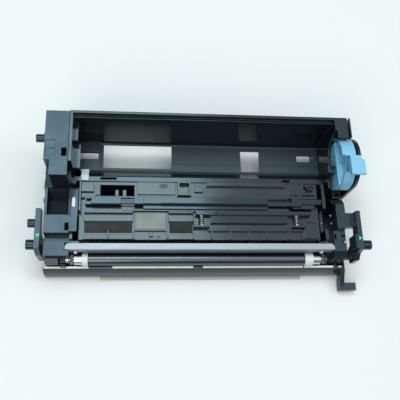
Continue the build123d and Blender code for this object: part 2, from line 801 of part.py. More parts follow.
def left_cuts():
    """Openings and grooves of the left cover."""
    y_low, y_high = pocket_y
    inset = left_cover_x + pocket_inset
    top_z = left_cover_profile[8][1]
    mid_y, mid_z = pocket_rise[0]
    high_y, high_z = pocket_rise[1]
    cuts = [
        plate(
            ((y_low, mid_z), (mid_y, mid_z), (high_y, high_z), (y_high, high_z), (y_high, top_z + past),
             (y_low, top_z + past)),
            inset, left_wall_x - past),
        block(
            left_wall_x - 11 * past, left_wall_x + past, -lip_wall * 2, sleeve_door_y, *sleeve_door_z),
        block(*shelf_slot, pocket_floor_z + 2 * past, top_z + past),
        block(
            bar_left_x - part_gap, left_wall_x + past, bar_front_y - part_gap, bar_back_y + part_gap,
            bar_leg_z - part_gap, top_z),
        rod(*drive_at, coupling_radius + drive_door_gap, left_cover_x - past,
            left_cover_x + left_cover_wall + past),
    ]
    for at in (front_idler_at, rear_idler_at):
        cuts.append(rod(
            *at, idler_pin_radius + clearance, left_cover_x + pin_end_gap - past / 2, left_gear_low_x))
    x_low, x_high = block_frame_x
    for y_low, y_high in zip(block_frames_y, block_frames_y[1:]):
        cuts.append(block(
            x_low + past, x_high - past, y_low + past, y_high - past, rear_block_top_z - block_ridge,
            rear_block_top_z + past))
    hole_low_x, hole_high_x, hole_low_y, hole_high_y, hole_depth = block_hole
    cuts.append(block(
        hole_low_x, hole_high_x, hole_low_y, hole_high_y, rear_block_top_z - hole_depth,
        rear_block_top_z + past))
    return cuts


def outer_lever_wall():
    """The curved outer wall beside the lock lever, with its foot and the pin's boss."""
    y_low, y_high = lever_y - outer_wall_radius, lever_y + outer_wall_radius
    high_x = outer_wall_x + outer_wall
    wall = rod(lever_y, lever_z, outer_wall_radius, outer_wall_x, high_x)
    wall += block(outer_wall_x, high_x, y_low, y_high, outer_foot_z, lever_z)
    wall += block(right_cover_low_x, high_x, y_low, y_high, outer_foot_z, foot_top_z)
    return wall


def right_end_cover():
    """The right end: a stepped block, a slot for the lock lever and a curved outer wall."""
    low_x, high_x = right_cover_low_x, right_cover_x
    body = plate(right_cover_profile, low_x, high_x)
    body += block(*rear_block_x, *rear_block_y, rear_block_low_z, rear_top_z)
    body += block(*side_plate_x, *rear_block_y, side_plate_low_z, rear_top_z)
    body += block(
        rear_block_x[0], side_plate_x[1], *rear_block_y, rear_block_low_z, side_plate_low_z + past)
    body += outer_lever_wall()
    body -= rod(lever_y, lever_z, lever_radius + lever_room, low_x - past, outer_wall_x)
    body += rod(
        lever_y, lever_z, lever_pin_radius + hub_boss_wall, lever_high_x + part_gap,
        outer_wall_x + past)
    body += block(*square_boss_x, *square_boss_y, *square_boss_z)
    body -= extrude(
        Plane.YZ.offset(low_x - past) * shrunk(right_cover_profile, right_cover_wall),
        high_x - right_cover_wall - low_x + past)
    x_low, x_high, y_low, y_high, low_z = right_step
    body -= block(x_low - past, x_high, y_low, y_high, low_z, rear_top_z)
    for x_low, x_high, y_low, y_high in notches:
        body -= block(
            x_low, x_high, y_low, y_high, bar_top_z - notch_depth, bar_top_z + past)
    wall = square_boss_wall
    body -= block(
        square_boss_x[0] + wall, square_boss_x[1] - wall, square_boss_y[0] + wall,
        square_boss_y[1] - wall, square_boss_z[1] - 4 * wall, square_boss_z[1] + past)
    body -= rod(
        lever_y, lever_z, lever_pin_radius + clearance, lever_high_x, outer_wall_x + outer_wall + past)
    return body


def blade_holder():
    """The bright bent sheet bar that carries the doctor blade."""
    top = block(bar_left_x, bar_right_x, bar_front_y, bar_back_y, bar_top_z - bar_sheet, bar_top_z)
    leg = block(bar_left_x, bar_right_x, bar_front_y, bar_front_y + bar_sheet, bar_leg_z, bar_top_z)
    body = top + leg
    bend = body.edges().filter_by(Axis.X).group_by(Axis.Z)[-1].sort_by(Axis.Y)[0]
    body = fillet(bend, bar_sheet)
    corners = body.edges().filter_by(Axis.Z).group_by(Axis.Y)[-1]
    body = fillet(corners, bar_corner)
    for x in blade_screw_places():
        body -= Pos(x, bar_front_y, blade_screw_z) * Rot(90, 0, 0) * Cylinder(bar_hole, 4 * bar_sheet)
    return body


def blade_screw_places():
    return (chamber_left_x + blade_screw_inset, chamber_right_x - blade_screw_inset)


def doctor_blade():
    """The thin plate that levels the developer on the sleeve."""
    return block(
        -blade_half, blade_half, bar_front_y - blade_sheet, bar_front_y, blade_low_z, blade_high_z)


def blade_screws():
    """The two screws that clamp the blade bar to the case."""
    parts = []
    upright = Rot(90, 0, 0)
    for x in blade_screw_places():
        head = Pos(x, bar_front_y - blade_head_thick / 2, blade_screw_z) * upright * Cylinder(
            blade_head_radius, blade_head_thick)
        shank = Pos(x, bar_front_y + past, blade_screw_z) * upright * Cylinder(
            blade_screw_radius, 2 * past)
        parts.append(head + shank)
    return Compound(parts)


def developing_sleeve():
    return ring(
        *sleeve_at, sleeve_radius, sleeve_radius - sleeve_wall, -sleeve_half, sleeve_half)


def magnet_roll():
    """The fixed magnet in the sleeve, on a shaft that the right end cover holds."""
    core_half = sleeve_half - flange_depth - past
    core = rod(*sleeve_at, sleeve_radius - sleeve_wall - magnet_gap, -core_half, core_half)
    shaft = rod(*sleeve_at, magnet_shaft_radius, -sleeve_half + past, right_cover_low_x)
    return core + shaft


def flange(side, stub_end_x):
    """A plug in the sleeve's end with the stub that runs in the bearing."""
    inner_x, outer_x = side * (sleeve_half - flange_depth), side * sleeve_half
    plug = rod(*sleeve_at, sleeve_radius - sleeve_wall - clearance, *sorted((inner_x, outer_x)))
    stub = rod(*sleeve_at, stub_radius, *sorted((outer_x - side * past, stub_end_x)))
    bore_end = stub_end_x + past if side > 0 else outer_x + past / 2
    bore = rod(
        *sleeve_at, magnet_shaft_radius + clearance, *sorted((inner_x - side * past, bore_end)))
    return plug + stub - bore


def sleeve_ring(outer, x_low, x_high):
    """A ring that turns on, or carries, the sleeve's stub."""
    return ring(*sleeve_at, outer, stub_radius + clearance, x_low, x_high)


def end_collar(x_low):
    """A collar with a notch in its lower front and a slot along its top."""
    x_high = x_low + collar_width
    body = sleeve_ring(collar_radius, x_low, x_high)
    body -= block(
        x_low - past, x_high - past, sleeve_y - 2 * collar_radius, sleeve_y - past,
        sleeve_z - 2 * collar_radius, sleeve_z + past)
    body -= block(
        x_low + past, x_high - past, sleeve_y - collar_slot / 2, sleeve_y + collar_slot / 2,
        sleeve_z + collar_notch, sleeve_z + 2 * collar_radius)
    return body


def retaining_rings():
    left_x = left_wall_x - part_gap - 2 * ring_thick
    right_x = right_wall_x + part_gap + ring_thick
    return Compound([
        sleeve_ring(ring_radius, x, x + ring_thick) for x in (left_x, right_x)])


def mixing_screw(at, hand):
    """A shaft with a spiral flight, in the case's trough."""
    shaft = rod(*at, screw_shaft_radius, left_gear_low_x, right_wall_x - past / 2)
    room = chamber_right_x - chamber_left_x - 2 * flight_end_gap
    flight = wound(
        screw_shaft_radius - past / 2, trough_radius - flight_gap, flight_thick,
        room / flight_turns, flight_turns, flight_steps, hand)
    return shaft + Pos(chamber_left_x + flight_end_gap, *at) * flight


def bush(at, x_low):
    return ring(*at, bush_radius, screw_shaft_radius + clearance, x_low, x_low + end_wall)


def gear_pin(at):
    """A steel pin for a gear, from the case's end wall outwards."""
    return rod(*at, idler_pin_radius, left_cover_x + pin_end_gap, chamber_left_x - pin_grip)


def drive_gear():
    """The input gear, with a three-claw coupling that shows outside the cover."""
    low_x = left_cover_x - coupling_reach
    body = gear(drive_at, drive_teeth, drive_turn, idler_pin_radius)
    body += ring(*drive_at, coupling_radius, idler_pin_radius + clearance, low_x, left_gear_low_x)
    body += rod(*drive_at, coupling_radius, left_cover_x, left_cover_x + left_cover_wall)
    for claw in range(3):
        y, z = polar(*drive_at, coupling_radius - claw_half, claw_angle + claw * 120)
        body -= block(
            low_x - past, left_cover_x - past / 2, y - claw_half, y + claw_half, z - claw_half,
            z + claw_half)
    return body


def framed(limits, wall):
    """A square frame: a block with an open middle."""
    x_low, x_high, y_low, y_high, z_low, z_high = limits
    frame = block(*limits)
    return frame - block(
        x_low + wall, x_high - wall, y_low + wall, y_high - wall, z_low, z_high + past)


def top_cover():
    """The cover of the mixing chamber, with its rails, strips, pockets and ribs."""
    back_y = rim_front_y - 4 * seat_gap
    body = block(
        cover_left_x, cover_right_x, cover_front_y, rim_front_y - cover_back_gap, cover_low_z,
        cover_top_z)
    body += block(cover_left_x, cover_right_x, deck_front_y, back_y, cover_top_z, deck_z)
    body += [block(*limits) for limits in (*deck_raised, *link_walls, *pocket_walls)]
    body += framed(catch_frame, catch_wall)
    body += Pos(oval_x, oval_y, strip_z - deck_field_depth) * extrude(
        SlotOverall(oval_long, oval_wide), 2 * oval_raise)
    body -= block(*deck_field, deck_z - deck_field_depth, deck_z + past)
    body -= block(*deck_window, cover_low_z - past, deck_z + past)
    body += [
        block(x, x + window_bar, deck_front_y, rim_front_y - 9 * past, cover_low_z, window_bar_z)
        for x in window_bars_x]
    body += cross_strip_panels() - cross_fields()
    body -= cross_fields()
    body += front_ribs()
    body += block(*corner_block[:4], cover_top_z, corner_block[4])
    x_low, x_high, y_low, y_high, depth = corner_recess
    body -= block(x_low, x_high, y_low, y_high, corner_block[4] - depth, corner_block[4] + past)
    return body


def cross_strip_panels():
    """Two panels of cross strips, and the raised panel between them."""
    parts = []
    for x_low, x_high in cross_panels:
        for y_low, y_high, drop in cross_strips:
            parts.append(block(x_low, x_high, y_low, y_high, cover_top_z - past, strip_z - drop))
    for limits in (centre_panel, centre_tab):
        parts.append(block(*limits, cover_top_z - past, strip_z - past))
    return Part() + parts


def cross_fields():
    """The sunk fields of the two panels."""
    return Part() + [
        block(
            x_low + field_inset, x_high - field_inset, *field_y, cover_top_z - field_depth,
            cover_top_z + past)
        for x_low, x_high in cross_panels]


def front_ribs():
    """Ribs that part the cover's front edge, and the long rib that ties them."""
    parts = [
        block(x - rib_half, x + rib_half, cover_front_y, rib_back_y, cover_top_z - past, strip_z)
        for x in front_ribs_x]
    parts.append(block(*rib_tie, cover_top_z - past, strip_z))
    return parts


def shutter_bar():
    """The long bar of the sliding link, with a raised lip along its rear half."""
    x_low, x_high = link_bar_x
    back_y = link_back_y - past
    body = block(x_low, x_high, link_front_y, back_y, link_low_z, link_top_z)
    body += block(x_low, x_high, link_lip_y, back_y, link_top_z, link_lip_z)
    body += block(
        x_low + link_ridge_start, x_high, link_lip_y, link_lip_y + link_ridge, link_lip_z,
        link_lip_z + link_ridge)
    body += block(link_head_x, x_low, link_lip_y, link_back_y, link_low_z, link_lip_z - past)
    body += block(x_high, link_tail_x, link_lip_y, back_y - 2 * past, link_low_z, link_top_z - past)
    return body - rod_bores(link_head_x - past, link_rod_x[1])


def rod_bores(x_low, x_high):
    """Bores for the link's two rods."""
    return [
        rod(y, link_rod_z, link_rod_radius + clearance, x_low, x_high + 2 * clearance)
        for y in link_rod_places]


def link_rods():
    """Two steel rods that join the bar to the latch slider."""
    return Compound([rod(y, link_rod_z, link_rod_radius, *link_rod_x) for y in link_rod_places])


def latch_slider():
    """The slider at the left end of the link, with its square window."""
    low_x, step_x, high_x = latch_x
    front_y = link_rod_places[0] - 3 * link_rod_radius
    body = block(step_x, high_x, front_y, link_back_y, link_low_z, latch_z[1])
    body += block(low_x, step_x, front_y, link_back_y, link_low_z, latch_z[0])
    body -= block(*latch_window, link_low_z - past, latch_z[1] + past)
    return body - rod_bores(link_rod_x[0] - 2 * clearance, high_x + past)


def cam_slider():
    """The stepped block at the right end of the link."""
    return Part() + [block(*limits) for limits in cam_steps]


def pressure_bar():
    """The sprung bar: a flat plate between two ears that bear on the springs."""
    low_z = cover_top_z + seat_gap
    body = block(*press_bar[:4], low_z, press_bar[4]) + block(*press_plate[:4], low_z, press_plate[4])
    ends = body.edges().filter_by(Axis.Z).group_by(Axis.X)
    return fillet([*ends[0], *ends[-1]], press_corner)


def coil_spring(x):
    """A compression spring along Y, of a square-faceted wire."""
    y_low, y_high = spring_y
    pitch = (y_high - y_low - 2 * spring_wire) / spring_turns
    coil = wound(
        spring_radius - spring_wire, spring_radius + spring_wire, 2 * spring_wire, pitch,
        spring_turns, spring_steps, 1)
    return Pos(x, y_low + spring_wire, spring_z) * Rot(0, 0, 90) * coil


def quarter_rim():
    """The lever's free rim, over the rear and upper quarter only."""
    high = lever_z + lever_radius
    rim = ring(
        lever_y, lever_z, lever_radius, lever_radius - lever_wall, lever_low_x,
        lever_groove_x + past)
    return rim & block(
        lever_low_x - past, lever_groove_x + 2 * past, lever_y - past, lever_y + lever_radius + past,
        lever_disc_top_z - 3 * past, high + past)


def lock_lever():
    """The blue lever: a half disc, a drum with a window, a hub, a rib and a flat grip."""
    drum = ring(
        lever_y, lever_z, lever_radius, lever_radius - lever_wall, lever_groove_x, lever_high_x)
    web = rod(lever_y, lever_z, lever_radius - past, lever_high_x - lever_wall, lever_high_x)
    disc = rod(lever_y, lever_z, lever_radius, lever_low_x, lever_low_x + lever_disc)
    disc &= block(
        lever_low_x - past, lever_high_x, 0, lever_disc_back_y, 0, lever_disc_top_z)
    hub = rod(
        lever_y, lever_z, lever_pin_radius + lever_hub_wall, lever_low_x + past, lever_high_x)
    floor = block(
        lever_low_x + past, lever_high_x - past, lever_y - lever_radius + 2 * lever_wall,
        lever_y + lever_radius - 3 * lever_wall, lever_disc_top_z - lever_wall, lever_disc_top_z)
    rib = block(*rib_x, *rib_y, lever_disc_top_z - past, rib_top_z)
    body = drum + web + disc + hub + floor + rib + quarter_rim()
    body -= block(
        *drum_window_x, *drum_window_y, rib_top_z, lever_z + lever_radius + past)
    body -= block(
        lever_low_x + lever_disc, lever_groove_x, lever_y - past, lever_y, lever_disc_top_z, rib_top_z)
    body += lever_grip()
    return body - rod(
        lever_y, lever_z, lever_pin_radius + clearance, lever_low_x + lever_disc + past,
        lever_high_x + past)


def lever_grip():
    """The flat grip that lies on the drum's top and reaches over the outer wall."""
    x_high, y_high = grip_x[1], grip_y[1]
    grip = block(*grip_x, *grip_y, *grip_z)
    grip -= block(
        x_high - grip_step_x, x_high + past, y_high - grip_step_y, y_high + past, grip_z[0] - past,
        grip_z[1] + past)
    edge = grip.edges().filter_by(Axis.X).group_by(Axis.Y)[0]
    grip = fillet(edge, grip_edge)
    grip -= rod(
        lever_y, lever_z, outer_wall_radius + part_gap, outer_wall_x - part_gap, x_high + past)
    root_z = lever_z + lever_radius - 4 * lever_wall
    return grip + block(
        grip_x[0], lever_high_x, lever_y - 5 * lever_wall, grip_y[1], root_z, grip_z[0] + past)


def lever_pin():
    return rod(
        lever_y, lever_z, lever_pin_radius, lever_low_x + lever_disc + past + part_gap,
        outer_wall_x + outer_wall)


def left_guide():
    """The left guide arm, with its two pins and a boss that joins it to the cover."""
    low_x, high_x = left_arm_x
    body = plate(left_arm_outline, low_x, high_x)
    body += rod(guide_pin_y, guide_pin_z, guide_pin_radius, left_guide_end_x, low_x + past)
    body += rod(upper_pin_y, upper_pin_z, upper_pin_radius, upper_pin_end_x, low_x + past)
    return body + block(high_x - past, left_cover_x, *left_arm_boss)


def right_guide():
    """The right guide arm: an open hook with a round pin, held at two struts."""
    low_x, high_x = right_arm_x
    pad_front_y, pad_back_y, pad_low_z, pad_high_z, pad_reach = right_arm_pad
    body = plate(right_arm_outline, low_x, high_x)
    body += block(low_x - pad_reach, low_x + past, pad_front_y, pad_back_y, pad_low_z, pad_high_z)
    body += rod(guide_pin_y, guide_pin_z, guide_pin_radius, high_x - past, right_guide_end_x)
    body += [block(right_cover_x, low_x + past, *limits) for limits in right_struts]
    return body


def release_lever():
    """The lever at the lower right, with a foot that is pushed up from the front."""
    neck_y, neck_half = release_neck
    foot_end_x, foot_front_y, foot_back_y, foot_low_z, foot_high_z = release_foot
    arm = plate(
        ((release_y + neck_y, release_z - neck_half), (release_y + neck_y, release_z + neck_half),
         *release_outline),
        release_low_x, release_high_x)
    foot = block(
        release_low_x, foot_end_x, foot_front_y, foot_back_y, foot_low_z, foot_high_z)
    boss = rod(release_y, release_z, release_boss, release_low_x, release_high_x)
    bore = rod(
        release_y, release_z, release_pin_radius + clearance, release_low_x - past,
        release_high_x + past)
    return arm + foot + boss - bore


def release_pin():
    head_x = release_high_x + seat_gap
    head = rod(release_y, release_z, release_head, head_x, head_x + release_head_thick)
    return head + rod(release_y, release_z, release_pin_radius, right_cover_x, head_x + past)


def lip_strip():
    """The thin bright strip along the top of the front lip, in four lengths."""
    parts = [
        block(x_low, x_high, lip_front_y, lip_back_y, lip_z, lip_z + strip_thick)
        for x_low, x_high in lip_sections]
    return Compound([part - gear_relief() for part in parts])


def lower_film():
    """The clear sealing film that stands out in front of the belly."""
    return block(film_left_x, film_right_x, film_front_y, film_back_y, 0, film_thick)


def guide_tab():
    """The white ribbed tab at the left end of the rim."""
    body = plate(tab_outline, *tab_x)
    for index in range(tab_ribs):
        x = tab_x[0] + tab_rib + index * tab_rib_pitch
        body += plate(tab_rib_outline, x, x + tab_rib)
    return body


def panel_plate():
    """The glossy plate on the middle panel of the cover."""
    x_low, x_high, y_low, y_high = centre_panel
    low_z = strip_z - plate_sunk
    return block(
        x_low + plate_inset, x_high - plate_inset, y_low + plate_inset, y_high - plate_inset, low_z,
        low_z + plate_thick)


def cover_screws():
    """Screws that hold the two end covers."""
    height = screw_head_height
    parts = [
        rod(y, z, screw_head_radius, left_cover_x - height, left_cover_x) for y, z in left_screws]
    parts += [
        rod(y, z, screw_head_radius, right_cover_x, right_cover_x + height) for y, z in right_screws]
    return Compound(parts)


def turning_pieces():
    """The sleeve's fittings, the mixing screws and the gears."""
    left_x, right_x = -sleeve_half - part_gap, sleeve_half + part_gap
    left_collar_x = left_x - left_roller_width - seat_gap - collar_width
    right_collar_x = right_x + right_roller_width + seat_gap
    return {
        "developing_sleeve": developing_sleeve(),
        "magnet_roll": magnet_roll(),
        "left_flange": flange(-1, left_gear_low_x),
        "right_flange": flange(1, right_wall_x + 3 * ring_thick),
        "left_gap_roller": sleeve_ring(roller_radius, left_x - left_roller_width, left_x),
        "right_gap_roller": sleeve_ring(roller_radius, right_x, right_x + right_roller_width),
        "left_collar": end_collar(left_collar_x),
        "right_collar": end_collar(right_collar_x),
        "left_bearing": sleeve_ring(bearing_radius, left_wall_x - part_gap, chamber_left_x + part_gap),
        "right_bearing": sleeve_ring(
            bearing_radius, chamber_right_x - part_gap, right_wall_x + part_gap),
        "retaining_rings": retaining_rings(),
        "front_screw": mixing_screw(front_screw_at, 1),
        "rear_screw": mixing_screw(rear_screw_at, -1),
        "front_left_bush": bush(front_screw_at, left_wall_x),
        "rear_left_bush": bush(rear_screw_at, left_wall_x),
        "front_right_bush": bush(front_screw_at, chamber_right_x),
        "rear_right_bush": bush(rear_screw_at, chamber_right_x),
        "sleeve_gear": gear(sleeve_at, sleeve_teeth, sleeve_turn, stub_radius),
        "front_screw_gear": gear(front_screw_at, screw_teeth, front_screw_turn, screw_shaft_radius),
        "rear_screw_gear": gear(rear_screw_at, screw_teeth, rear_screw_turn, screw_shaft_radius),
        "front_idler": gear(front_idler_at, front_idler_teeth, front_idler_turn, idler_pin_radius),
        "rear_idler": gear(rear_idler_at, rear_idler_teeth, rear_idler_turn, idler_pin_radius),
        "drive_gear": drive_gear(),
        "gear_pins": Compound([gear_pin(at) for at in (front_idler_at, rear_idler_at, drive_at)]),
    }


pieces = {
    "lower_case": lower_case(),
    "top_cover": top_cover(),
    "left_end_cover": left_end_cover(),
    "right_end_cover": right_end_cover(),
    "blade_holder": blade_holder(),
    "doctor_blade": doctor_blade(),
    "blade_screws": blade_screws(),
    **turning_pieces(),
    "shutter_bar": shutter_bar(),
    "link_rods": link_rods(),
    "latch_slider": latch_slider(),
    "cam_slider": cam_slider(),
    "pressure_bar": pressure_bar(),
    "left_spring": coil_spring(spring_x[0]),
    "right_spring": coil_spring(spring_x[1]),
    "lock_lever": lock_lever(),
    "lever_pin": lever_pin(),
    "left_guide": left_guide(),
    "right_guide": right_guide(),
    "release_lever": release_lever(),
    "release_pin": release_pin(),
    "lip_strip": lip_strip(),
    "lower_film": lower_film(),
    "guide_tab": guide_tab(),
    "panel_plate": panel_plate(),
    "cover_screws": cover_screws(),
}

os.makedirs("parts", exist_ok=True)
for name, shape in pieces.items():
    export_step(Pos(0, -origin_y, 0) * shape, f"parts/{name}.step")
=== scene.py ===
import bmesh
import bpy
import json
import numpy as np
from math import radians
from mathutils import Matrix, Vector


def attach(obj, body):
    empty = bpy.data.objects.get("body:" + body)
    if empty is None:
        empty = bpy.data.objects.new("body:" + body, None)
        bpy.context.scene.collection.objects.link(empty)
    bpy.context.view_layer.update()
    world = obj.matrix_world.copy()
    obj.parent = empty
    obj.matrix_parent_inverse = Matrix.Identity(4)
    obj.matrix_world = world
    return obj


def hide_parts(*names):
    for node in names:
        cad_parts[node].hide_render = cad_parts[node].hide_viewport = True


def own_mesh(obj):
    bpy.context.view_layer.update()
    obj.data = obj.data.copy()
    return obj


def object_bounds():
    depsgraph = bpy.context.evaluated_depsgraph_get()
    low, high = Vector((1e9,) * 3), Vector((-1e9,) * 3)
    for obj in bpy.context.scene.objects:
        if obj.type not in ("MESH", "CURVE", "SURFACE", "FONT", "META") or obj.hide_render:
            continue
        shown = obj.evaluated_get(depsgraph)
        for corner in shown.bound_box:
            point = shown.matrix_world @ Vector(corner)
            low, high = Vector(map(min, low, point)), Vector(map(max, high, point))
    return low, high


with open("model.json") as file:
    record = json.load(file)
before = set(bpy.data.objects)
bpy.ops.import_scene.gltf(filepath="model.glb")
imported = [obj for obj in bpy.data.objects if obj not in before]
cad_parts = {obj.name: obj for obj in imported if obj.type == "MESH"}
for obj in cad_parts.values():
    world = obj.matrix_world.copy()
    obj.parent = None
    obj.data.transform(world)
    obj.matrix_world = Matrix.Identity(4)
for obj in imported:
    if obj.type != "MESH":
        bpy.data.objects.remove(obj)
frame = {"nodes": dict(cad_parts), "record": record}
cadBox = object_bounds()
nodes = frame["nodes"]
mm = 0.001
originY = 29.5  # the frame's origin lies this far behind the lip, in mm
print("frame loaded,", len(nodes), "nodes")

# Materials

hexOf = {
    "caseBlack": "#121618",
    "coverBlack": "#111517",
    "endBlack": "#1b2124",
    # painted shade for sunk places
    "paintedShadeBlack": "#07090a",
    # painted reflection on the cradle floor
    "paintedFloorShine": "#343e43",
    "glossBlack": "#0f1315",
    "gearBlack": "#1b1d1e",
    # painted highlight on the black plastics' rounded corners
    "edgeHighlightGrey": "#7d8a8f",
    "dustGrey": "#4a4a46",
    "leverBlue": "#7fbddc",
    # painted highlight on the lever's rounded corners
    "leverEdgeHighlight": "#c4e6f6",
    "acetalWhite": "#d8dad8",
    "platedSteel": "#989b9f",
    "turnedSteel": "#c8cacc",
    "darkSteel": "#6d7074",
    "coatedAluminium": "#5c6165",
    "plateBronze": "#4b4836",
    "filmClear": "#b4b4ac",
    # pale strip, painted nearly white as a highlight
    "stripPaleHighlight": "#dcdcd2",
    "markGreen": "#2fd08c",
    "floorPale": "#e9e7e4",
}


def linear(name):
    # A colour's name, or its sRGB hex, to linear RGBA: c / 12.92 below 0.04045, and above it
    # ((c + 0.055) / 1.055) ** 2.4
    text = hexOf.get(name, name).lstrip("#")
    c = np.array([int(text[i:i + 2], 16) for i in (0, 2, 4)]) / 255
    c = np.where(c <= 0.04045, c / 12.92, ((c + 0.055) / 1.055) ** 2.4)
    return (*c, 1.0)


def addNode(tree, kind, settings=None, **links):
    # One node with its settings and its input links. A link names a node and its output, and i0, i1 and so on
    # are inputs by their number
    node = tree.nodes.new(kind)
    for key, value in (settings or {}).items():
        if isinstance(key, str) and key not in node.inputs:
            setattr(node, key, value)
        else:
            node.inputs[key].default_value = value
    for key, source in links.items():
        maker, outlet = source
        tree.links.new(maker.outputs[outlet], node.inputs[int(key[1:]) if key[1:].isdigit() else key])
    return node


def newMaterial(name):
    material = bpy.data.materials.new(name)
    material.use_nodes = True
    tree = material.node_tree
    tree.nodes.clear()
    return material, tree


edgeValues = {"samples": 6, "turnFrom": 0.985, "turnTo": 0.75}


def softEdge(tree, radiusMm):
    # A moulded corner's small round: the normal turns over it, and the share of painted highlight grows as
    # that turn's cosine falls from turnFrom to turnTo
    bevel = addNode(tree, "ShaderNodeBevel", {"samples": edgeValues["samples"], "Radius": radiusMm * mm})
    flat = addNode(tree, "ShaderNodeNewGeometry")
    turn = addNode(
        tree, "ShaderNodeVectorMath", {"operation": "DOT_PRODUCT"},
        i0=(bevel, "Normal"), i1=(flat, "True Normal"))
    paintedHighlightMask = addNode(
        tree, "ShaderNodeMapRange", {"From Min": edgeValues["turnFrom"], "From Max": edgeValues["turnTo"]},
        Value=(turn, "Value"))
    return bevel, paintedHighlightMask


plasticValues = {
    "ior": 1.54, "grainDetail": 2.0, "grainStrength": 0.06, "grainDeepMm": 0.03,
    "patchMm": 24, "patchDetail": 6.0, "patchRough": 0.62, "patchFrom": 0.3, "patchTo": 0.7,
    "glossLow": 0.75, "glossHigh": 1.35, "dustFrom": 0.5, "dustTo": 0.8, "deepFadeMm": 0.3, "zoneFadeMm": 0.2,
}
plainLook = {  # stands for what a plastic's own look leaves out; its zone is a point that nothing reaches
    # edge: the share of painted highlight on rounded corners
    "edge": 0.6, "edgeHighlightColour": "edgeHighlightGrey", "roundMm": 0.35, "dust": 0.0, "paintedReflectionTint": "#ffffff",
    "deepZ": -100.0, "deepRough": 0.0,
    "zone": ((0, 0, -9), (0, 0, -9)), "zoneRough": 0.0, "zoneShare": 0.0, "zoneColour": "paintedShadeBlack",
}


def zoneMask(tree, where, zone):
    # 1 inside the zone's box and 0 outside, from the largest of |p - middle| - half over the three axes
    low, high = (np.array(corner) - (0, originY, 0) for corner in zone)
    fade = plasticValues["zoneFadeMm"] * mm
    offset = addNode(
        tree, "ShaderNodeVectorMath", {"operation": "SUBTRACT", 1: (low + high) / 2 * mm}, i0=(where, "Object"))
    reach = addNode(tree, "ShaderNodeVectorMath", {"operation": "ABSOLUTE"}, i0=(offset, "Vector"))
    over = addNode(
        tree, "ShaderNodeVectorMath", {"operation": "SUBTRACT", 1: (high - low) / 2 * mm}, i0=(reach, "Vector"))
    sides = addNode(tree, "ShaderNodeSeparateXYZ", None, Vector=(over, "Vector"))
    wider = addNode(tree, "ShaderNodeMath", {"operation": "MAXIMUM"}, i0=(sides, "X"), i1=(sides, "Y"))
    widest = addNode(tree, "ShaderNodeMath", {"operation": "MAXIMUM"}, i0=(wider, "Value"), i1=(sides, "Z"))
    return addNode(tree, "ShaderNodeMapRange", {"From Min": fade, "From Max": -fade}, Value=(widest, "Value"))


